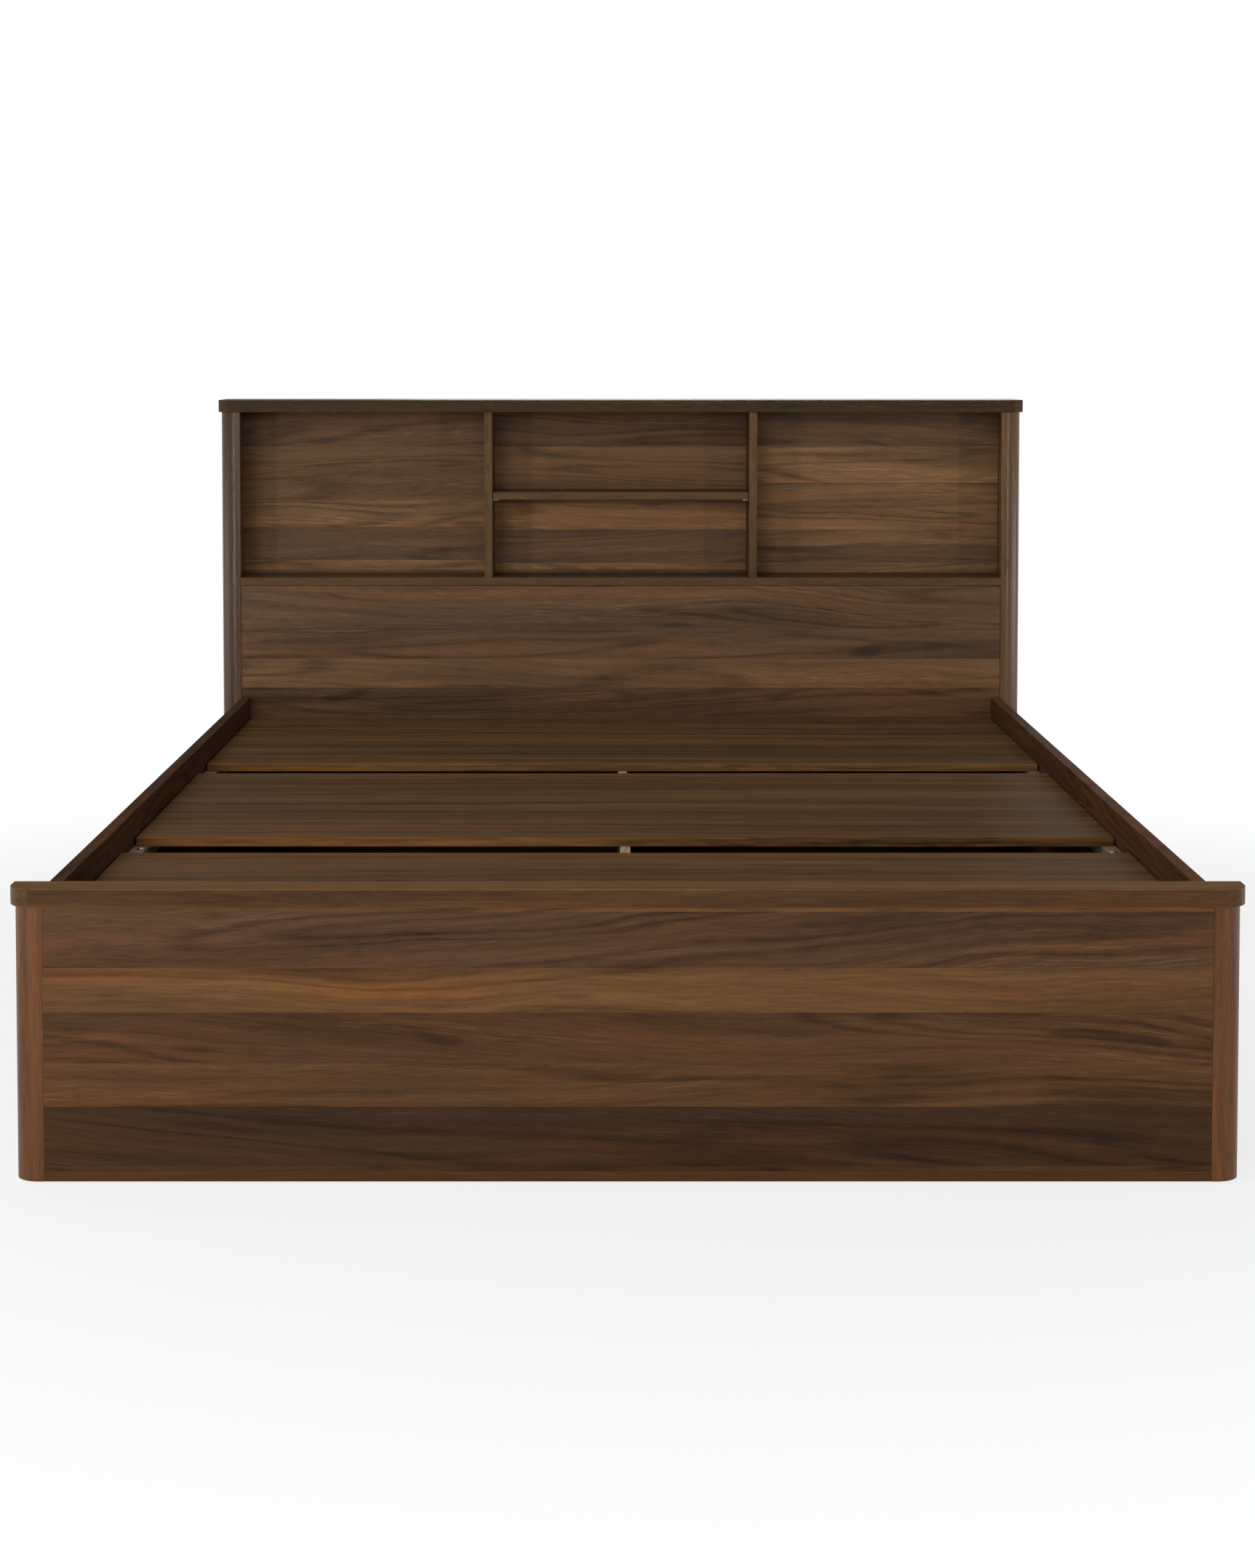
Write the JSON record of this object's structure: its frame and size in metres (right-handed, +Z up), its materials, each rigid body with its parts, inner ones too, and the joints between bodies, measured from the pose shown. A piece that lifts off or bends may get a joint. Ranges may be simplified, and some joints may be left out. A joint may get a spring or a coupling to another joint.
{
  "type": "bed with storage headboard",
  "caption": "Panel bed with rounded corner posts, a closed base with loose platform boards, and a headboard with open storage bays and a middle shelf on pins.",
  "frame": {"origin": "on the floor under the middle of the bed's outline", "axes": "+X to the right of a person who stands at the foot end, +Y from the footboard to the headboard, +Z up"},
  "size_m": [1.664, 2.21, 1.015],
  "materials": {
    "walnut_laminate": "satin walnut-print laminate on engineered board",
    "walnut_post": "satin walnut-print foil with upright grain",
    "pine": "bare planed softwood",
    "zinc_steel": "bright zinc plating",
    "glide_plastic": "matt black"
  },
  "bodies": {
    "frame": {"footboard_cap": "walnut_laminate", "footboard_panel": "walnut_laminate", "footboard_bottom_rail": "walnut_laminate", "footboard_inner_panel": "walnut_laminate", "footboard_stile_centre": "pine", "footboard_stile_left": "pine", "footboard_stile_right": "pine", "footboard_post_left": "walnut_post", "footboard_post_right": "walnut_post", "glide_foot_left": "glide_plastic", "glide_foot_right": "glide_plastic", "headboard_cap": "walnut_laminate", "headboard_front_panel": "walnut_laminate", "headboard_stile_left": "pine", "headboard_stile_right": "pine", "headboard_upright_left": "walnut_laminate", "headboard_upright_right": "walnut_laminate", "headboard_main_shelf": "walnut_laminate", "headboard_back_panel": "walnut_laminate", "headboard_post_left": "walnut_post", "headboard_post_right": "walnut_post", "headboard_side_left": "walnut_laminate", "headboard_side_right": "walnut_laminate", "headboard_divider_left": "walnut_laminate", "headboard_divider_right": "walnut_laminate", "shelf_pin_left_front": "zinc_steel", "shelf_pin_left_back": "zinc_steel", "shelf_pin_right_front": "zinc_steel", "shelf_pin_right_back": "zinc_steel", "glide_head_front_left": "glide_plastic", "glide_head_front_right": "glide_plastic", "glide_head_back_left": "glide_plastic", "glide_head_back_right": "glide_plastic", "side_rail_left": "walnut_laminate", "side_rail_right": "walnut_laminate", "ledge_left": "pine", "ledge_right": "pine", "centre_board": "pine", "centre_bracket_foot": "zinc_steel", "centre_bracket_head": "zinc_steel", "glide_centre_foot": "glide_plastic", "glide_centre_head": "glide_plastic", "corner_bracket_foot_left": "zinc_steel", "corner_bracket_foot_right": "zinc_steel", "corner_bracket_head_left": "zinc_steel", "corner_bracket_head_right": "zinc_steel", "rail_bolt_foot_left": "zinc_steel", "rail_bolt_foot_right": "zinc_steel", "rail_bolt_head_left": "zinc_steel", "rail_bolt_head_right": "zinc_steel", "board_bolt_foot_left": "zinc_steel", "board_bolt_foot_right": "zinc_steel", "board_bolt_head_left": "zinc_steel", "board_bolt_head_right": "zinc_steel"},
    "foot_board": {"base_board_foot": "walnut_laminate"},
    "middle_board": {"base_board_middle": "walnut_laminate"},
    "head_board": {"base_board_head": "walnut_laminate"},
    "shelf": {"middle_shelf": "walnut_laminate"}
  },
  "joints": [
    {"name": "foot_board_lift", "type": "slide", "parent": "frame", "child": "foot_board", "axis": [0, 0, 1], "range_m": [0, 0.2]},
    {"name": "middle_board_lift", "type": "slide", "parent": "frame", "child": "middle_board", "axis": [0, 0, 1], "range_m": [0, 0.2]},
    {"name": "head_board_lift", "type": "slide", "parent": "frame", "child": "head_board", "axis": [0, 0, 1], "range_m": [0, 0.2]},
    {"name": "shelf_slide", "type": "slide", "parent": "frame", "child": "shelf", "axis": [0, -1, 0], "range_m": [0, 0.12]}
  ]
}
